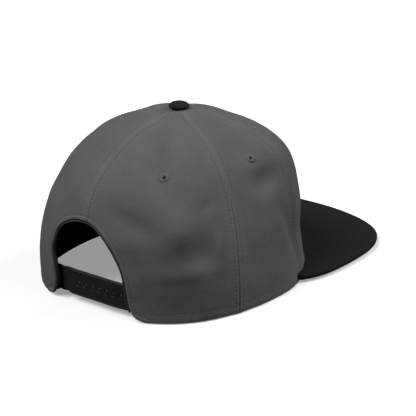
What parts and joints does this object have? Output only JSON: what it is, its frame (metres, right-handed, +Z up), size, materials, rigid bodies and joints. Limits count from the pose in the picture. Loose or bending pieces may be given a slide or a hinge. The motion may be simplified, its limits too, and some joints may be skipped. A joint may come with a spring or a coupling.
{
  "type": "snapback cap",
  "caption": "Six-panel snapback cap: grey fabric crown, flat black brim, covered top button and black plastic snap strap across the rear arch.",
  "frame": {"origin": "middle of the bounding box's underside, level with the lower edge of the crown", "axes": "+Z up through the crown, -Y toward the front of the brim, +X toward the wearer's left"},
  "size_m": [0.1848, 0.2522, 0.1178],
  "materials": {
    "crown_fabric": "matte twill",
    "crown_thread": "matte stitched thread",
    "button_fabric": "matte twill",
    "brim_fabric": "matte twill",
    "band_fabric": "matte",
    "strap_plastic": "semi-matte"
  },
  "bodies": {
    "root": {"panel_back_right": "crown_fabric", "panel_side_right": "crown_fabric", "panel_front_right": "crown_fabric", "eyelet_back_right": "crown_thread", "eyelet_side_right": "crown_thread", "eyelet_front_right": "crown_thread", "panel_back_left": "crown_fabric", "panel_side_left": "crown_fabric", "panel_front_left": "crown_fabric", "eyelet_back_left": "crown_thread", "eyelet_side_left": "crown_thread", "eyelet_front_left": "crown_thread", "button": "button_fabric", "brim": "brim_fabric", "sweatband": "band_fabric", "arch_tape": "band_fabric", "strap_left": "strap_plastic", "strap_right": "strap_plastic"}
  },
  "joints": []
}
